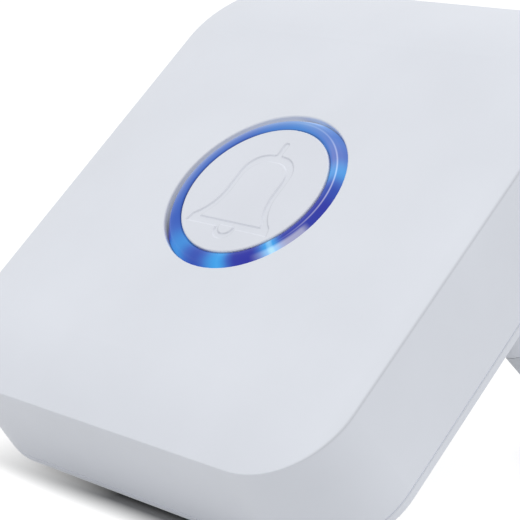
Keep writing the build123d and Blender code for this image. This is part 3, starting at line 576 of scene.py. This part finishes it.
screw_steel = streaked_metal("screw_steel", (0.60, 0.61, 0.63), 0.22, 0.42, (1.0, 1.0, 0.3))
spring_steel = streaked_metal("spring_steel", (0.45, 0.46, 0.48), 0.20, 0.38, (1.0, 1.0, 1.0))
soft_iron = streaked_metal("soft_iron", (0.34, 0.34, 0.35), 0.35, 0.55, (0.15, 1.0, 1.0))
magnet_plate = streaked_metal("magnet_plate", (0.72, 0.71, 0.69), 0.10, 0.22, (1.0, 1.0, 1.0))
can_metal = streaked_metal("can_metal", (0.66, 0.67, 0.69), 0.25, 0.40, (1.0, 0.2, 0.2))
print("steel finishes:", screw_steel.name, spring_steel.name)
print("other metals:", soft_iron.name, magnet_plate.name, can_metal.name)

# %% [markdown]
# ## Copper wire
#
# The coil is hundreds of turns of enamelled wire, laid side by side. The solid is a plain block, so the
# turns are drawn as fine bands across the coil's length, in a bump and in the colour, which is darker between
# the turns: a painted shade.

# %% Copper
copper, tree, shader = new_finish("copper")
along_coil = add_node(tree, "ShaderNodeMapping", vector_type="TEXTURE")
along_coil.inputs["Rotation"].default_value = (lean, 0, 0)
tree.links.new(object_place(tree), along_coil.inputs["Vector"])
turns = add_node(tree, "ShaderNodeTexWave", bands_direction="Y", scale=620.0, distortion=0.6, detail=1.0)
tree.links.new(along_coil.outputs["Vector"], turns.inputs["Vector"])
# The dark end of the ramp is painted shade in the grooves between turns.
tree.links.new(ramp(tree, turns.outputs["Fac"], [(0.0, (0.24, 0.07, 0.025)), (0.6, (0.66, 0.26, 0.10))]),
               shader.inputs["Base Color"])
ridges = add_node(tree, "ShaderNodeBump", strength=0.7, distance=0.00006)
tree.links.new(turns.outputs["Fac"], ridges.inputs["Height"])
tree.links.new(ridges.outputs["Normal"], shader.inputs["Normal"])
shader.inputs["Metallic"].default_value = 1.0
shader.inputs["Roughness"].default_value = 0.28
shader.inputs["Coat Weight"].default_value = 0.5
print("copper finish ready:", copper.name)

# %% [markdown]
# ## Circuit board and lamps
#
# The board is green lacquer over copper tracks. A brick pattern of fine lines gives the tracks, a shade
# lighter than the lacquer between them. The lamps are milky resin that glows faintly blue.

# %% Board and lamp resin
board_green, tree, shader = new_finish("board_green")
on_board = add_node(tree, "ShaderNodeMapping", vector_type="TEXTURE")
on_board.inputs["Rotation"].default_value = (lean, 0, 0)
tree.links.new(object_place(tree), on_board.inputs["Vector"])
tracks = add_node(tree, "ShaderNodeTexBrick", scale=320.0, mortar_size=0.06, mortar_smooth=0.2)
tracks.inputs["Color1"].default_value = (0.008, 0.075, 0.030, 1)
tracks.inputs["Color2"].default_value = (0.006, 0.060, 0.024, 1)
tracks.inputs["Mortar"].default_value = (0.035, 0.150, 0.050, 1)
tree.links.new(on_board.outputs["Vector"], tracks.inputs["Vector"])
tree.links.new(tracks.outputs["Color"], shader.inputs["Base Color"])
shader.inputs["Roughness"].default_value = 0.35
shader.inputs["Coat Weight"].default_value = 0.4

lamp_resin, tree, shader = new_finish("lamp_resin")
milk = add_node(tree, "ShaderNodeTexNoise", scale=1500.0, detail=2.0)
tree.links.new(object_place(tree), milk.inputs["Vector"])
tree.links.new(ramp(tree, milk.outputs["Fac"], [(0.3, (0.62, 0.66, 0.74)), (0.7, (0.74, 0.78, 0.84))]),
               shader.inputs["Base Color"])
shader.inputs["Emission Color"].default_value = (0.10, 0.32, 0.95, 1)
shader.inputs["Emission Strength"].default_value = 0.6
shader.inputs["Roughness"].default_value = 0.25
print("board finishes:", board_green.name, lamp_resin.name)

# %% [markdown]
# ## Return spring
#
# The spring under the cap shortens at each press, so it can't be a stiff solid here. It is drawn again as a
# helix of round wire between the same two seats. As on a real spring the end turns are closed: there the wire
# climbs by little more than its own thickness a turn. The working turns between them take the rest.

# %% Height of the spring's wire
spring_low, spring_high = -0.0083, -0.00185
wire_radius, coil_radius = 0.00035, 0.0062
closed_turns, working_turns = 0.75, 2.9
turn_total = working_turns + 2 * closed_turns
seat_gap, closed_climb = 1.05 * wire_radius, 2.1 * wire_radius
centre_low, centre_high = spring_low + seat_gap, spring_high - seat_gap
working_climb = centre_high - centre_low - 2 * closed_climb * closed_turns


def spring_height(turned):
    """Height of the wire's centre after a number of turns."""
    closed = min(turned, closed_turns) + max(0.0, turned - closed_turns - working_turns)
    share = min(max((turned - closed_turns) / working_turns, 0.0), 1.0)
    return centre_low + closed_climb * closed + working_climb * share


print("turns of the spring:", turn_total)

# %% [markdown]
# A curve with a round bevel makes the wire. It is then turned into a mesh.

# %% Wire of the spring
points_per_turn = 32
helix = bpy.data.curves.new("return_spring_wire", "CURVE")
helix.dimensions = "3D"
helix.bevel_depth = wire_radius
helix.bevel_resolution = 4
helix.use_fill_caps = True
strand = helix.splines.new("POLY")
steps = round(turn_total * points_per_turn)
strand.points.add(steps)
for step, point in enumerate(strand.points):
    turned = turn_total * step / steps
    around = 2 * math.pi * turned
    place = Vector((coil_radius * math.cos(around), coil_radius * math.sin(around), spring_height(turned)))
    point.co = (*(from_face @ place), 1.0)
wire_holder = bpy.data.objects.new("wire_holder", helix)
bpy.context.scene.collection.objects.link(wire_holder)
bpy.context.view_layer.update()
finished_wire = wire_holder.evaluated_get(bpy.context.evaluated_depsgraph_get())
spring_mesh = bpy.data.meshes.new_from_object(finished_wire)
bpy.data.objects.remove(wire_holder)
print("faces on the spring:", len(spring_mesh.polygons))

# %% [markdown]
# The mesh takes the place of the imported spring and stands on the case.

# %% Return spring
spring = bpy.data.objects.new("return_spring_coil", spring_mesh)
bpy.context.scene.collection.objects.link(spring)
spring_mesh.materials.clear()
spring_mesh.materials.append(spring_steel)
for face in spring_mesh.polygons:
    face.use_smooth = True
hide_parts("return_spring")
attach(spring, "case")
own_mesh(spring)

# %% [markdown]
# ## Dressing the pieces
#
# Last, each piece gets its finish. A table from finish to pieces is easier to check than a line per piece,
# and a count at the end shows that none was forgotten.

# %% Finishes to pieces
wardrobe = {
    shell_white: ["front_shell"],
    cover_white: ["rear_cover"],
    cap_white: ["button_cap"],
    ring_glow: ["light_ring"],
    leg_white: ["right_leg", "left_leg"],
    dark_rubber: ["rear_feet", "front_foot", "stop_ring"],
    seal_rubber: ["case_seal"],
    screw_steel: ["case_screws", "chassis_screws", "board_screws", "generator_screws", "leg_screws",
                  "rocker_axle"],
    spring_steel: ["return_spring", "stem_clip"],
    soft_iron: ["iron_core", "flux_yoke", "upper_pole_plate", "lower_pole_plate"],
    magnet_plate: ["magnet"],
    copper: ["coil_winding", "coil_leads", "antenna_wire"],
    board_green: ["circuit_board"],
    lamp_resin: ["ring_leds"],
    chip_black: ["radio_chip", "power_parts"],
    can_metal: ["storage_capacitor"],
    chassis_grey: ["chassis"],
    frame_black: ["generator_frame"],
    bobbin_cream: ["coil_bobbin", "rocker_arm"],
}
dressed = 0
for finish, names in wardrobe.items():
    for name in names:
        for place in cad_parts[name].material_slots:
            place.material = finish
        dressed += 1
print("pieces dressed:", dressed, "of", len(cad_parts))

# %% [markdown]
# ## Picture settings
#
# The Standard view shows colours as they are written.

# %% Picture settings
bpy.context.scene.view_settings.view_transform = "Standard"
